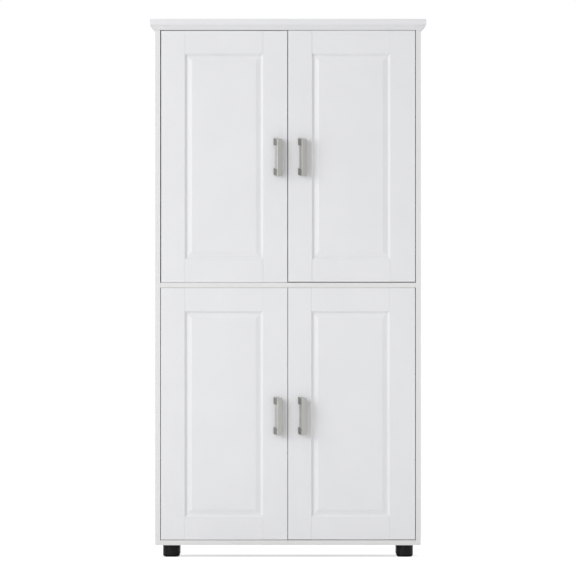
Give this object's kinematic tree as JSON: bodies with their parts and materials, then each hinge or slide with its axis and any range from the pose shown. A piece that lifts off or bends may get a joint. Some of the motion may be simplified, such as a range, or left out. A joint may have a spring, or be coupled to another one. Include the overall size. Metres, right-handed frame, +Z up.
{
  "type": "pantry cabinet",
  "caption": "Tall freestanding storage cabinet with a splayed moulding under its top, two stacked pairs of raised-panel doors, adjustable shelves and round feet.",
  "frame": {"origin": "on the floor, under the centre of the cabinet's box with the handles included", "axes": "+Z up, -Y out of the front, +X to the right as seen from the front"},
  "size_m": [0.822, 0.411, 1.6],
  "materials": {
    "white_lacquer": "white satin lacquer on MDF",
    "white_board": "white melamine-faced board",
    "hardboard": "thin hardboard, white inside and raw outside",
    "black_plastic": "black moulded plastic",
    "satin_nickel": "satin nickel plate",
    "hinge_steel": "nickel-plated steel"
  },
  "bodies": {
    "carcass": {"side_left": "white_board", "side_right": "white_board", "bottom_panel": "white_board", "middle_panel": "white_board", "top_rail_front": "white_board", "top_rail_back": "white_board", "top_board": "white_lacquer", "back_sheet_lower": "hardboard", "back_sheet_upper": "hardboard", "shelf_lower_1": "white_board", "shelf_lower_2": "white_board", "shelf_upper_1": "white_board", "shelf_upper_2": "white_board", "moulding_front": "white_lacquer", "moulding_left": "white_lacquer", "moulding_right": "white_lacquer", "foot_front_left": "black_plastic", "foot_front_right": "black_plastic", "foot_back_left": "black_plastic", "foot_back_right": "black_plastic", "hinge_lower_left_low_arm": "hinge_steel", "hinge_lower_left_high_arm": "hinge_steel", "hinge_lower_right_low_arm": "hinge_steel", "hinge_lower_right_high_arm": "hinge_steel", "hinge_upper_left_low_arm": "hinge_steel", "hinge_upper_left_high_arm": "hinge_steel", "hinge_upper_right_low_arm": "hinge_steel", "hinge_upper_right_high_arm": "hinge_steel"},
    "door_lower_left": {"door_lower_left_stile_hinge": "white_lacquer", "door_lower_left_stile_handle": "white_lacquer", "door_lower_left_rail_top": "white_lacquer", "door_lower_left_rail_bottom": "white_lacquer", "door_lower_left_panel": "white_lacquer", "handle_lower_left": "satin_nickel", "hinge_lower_left_low_cup": "hinge_steel", "hinge_lower_left_high_cup": "hinge_steel"},
    "door_lower_right": {"door_lower_right_stile_hinge": "white_lacquer", "door_lower_right_stile_handle": "white_lacquer", "door_lower_right_rail_top": "white_lacquer", "door_lower_right_rail_bottom": "white_lacquer", "door_lower_right_panel": "white_lacquer", "handle_lower_right": "satin_nickel", "hinge_lower_right_low_cup": "hinge_steel", "hinge_lower_right_high_cup": "hinge_steel"},
    "door_upper_left": {"door_upper_left_stile_hinge": "white_lacquer", "door_upper_left_stile_handle": "white_lacquer", "door_upper_left_rail_top": "white_lacquer", "door_upper_left_rail_bottom": "white_lacquer", "door_upper_left_panel": "white_lacquer", "handle_upper_left": "satin_nickel", "hinge_upper_left_low_cup": "hinge_steel", "hinge_upper_left_high_cup": "hinge_steel"},
    "door_upper_right": {"door_upper_right_stile_hinge": "white_lacquer", "door_upper_right_stile_handle": "white_lacquer", "door_upper_right_rail_top": "white_lacquer", "door_upper_right_rail_bottom": "white_lacquer", "door_upper_right_panel": "white_lacquer", "handle_upper_right": "satin_nickel", "hinge_upper_right_low_cup": "hinge_steel", "hinge_upper_right_high_cup": "hinge_steel"}
  },
  "joints": [
    {"name": "door_lower_left_hinge", "type": "hinge", "parent": "carcass", "child": "door_lower_left", "pos_m": [-0.3595, -0.1705, 0.4255], "axis": [0, 0, -1], "range_deg": [0, 110]},
    {"name": "door_lower_right_hinge", "type": "hinge", "parent": "carcass", "child": "door_lower_right", "pos_m": [0.3595, -0.1705, 0.4255], "axis": [0, 0, 1], "range_deg": [0, 110]},
    {"name": "door_upper_left_hinge", "type": "hinge", "parent": "carcass", "child": "door_upper_left", "pos_m": [-0.3595, -0.1705, 1.1915], "axis": [0, 0, -1], "range_deg": [0, 110]},
    {"name": "door_upper_right_hinge", "type": "hinge", "parent": "carcass", "child": "door_upper_right", "pos_m": [0.3595, -0.1705, 1.1915], "axis": [0, 0, 1], "range_deg": [0, 110]}
  ]
}
